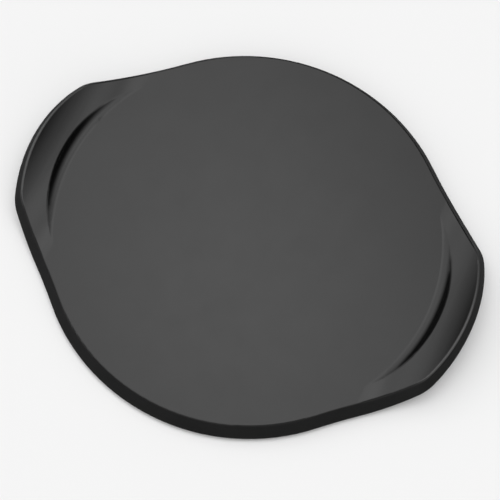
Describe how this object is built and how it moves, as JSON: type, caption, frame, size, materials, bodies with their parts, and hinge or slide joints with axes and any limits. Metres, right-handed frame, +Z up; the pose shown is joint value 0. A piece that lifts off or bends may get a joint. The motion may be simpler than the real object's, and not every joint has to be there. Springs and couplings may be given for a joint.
{
  "type": "pizza stone",
  "caption": "Round glazed stoneware baking stone with a leaning edge, an upswept finger ear at each side and a bare foot ring underneath.",
  "frame": {"origin": "middle of the foot ring, on the surface that the stone rests on", "axes": "+X through one ear, along the longest extent; +Z up, square to the bed; +Y across, in the plane of the bed"},
  "size_m": [0.4224, 0.3658, 0.0364],
  "materials": {
    "stoneware": "matt",
    "black_glaze": "gloss"
  },
  "bodies": {
    "root": {"stone_body": "stoneware", "outer_glaze": "black_glaze", "base_glaze": "black_glaze"}
  },
  "joints": []
}
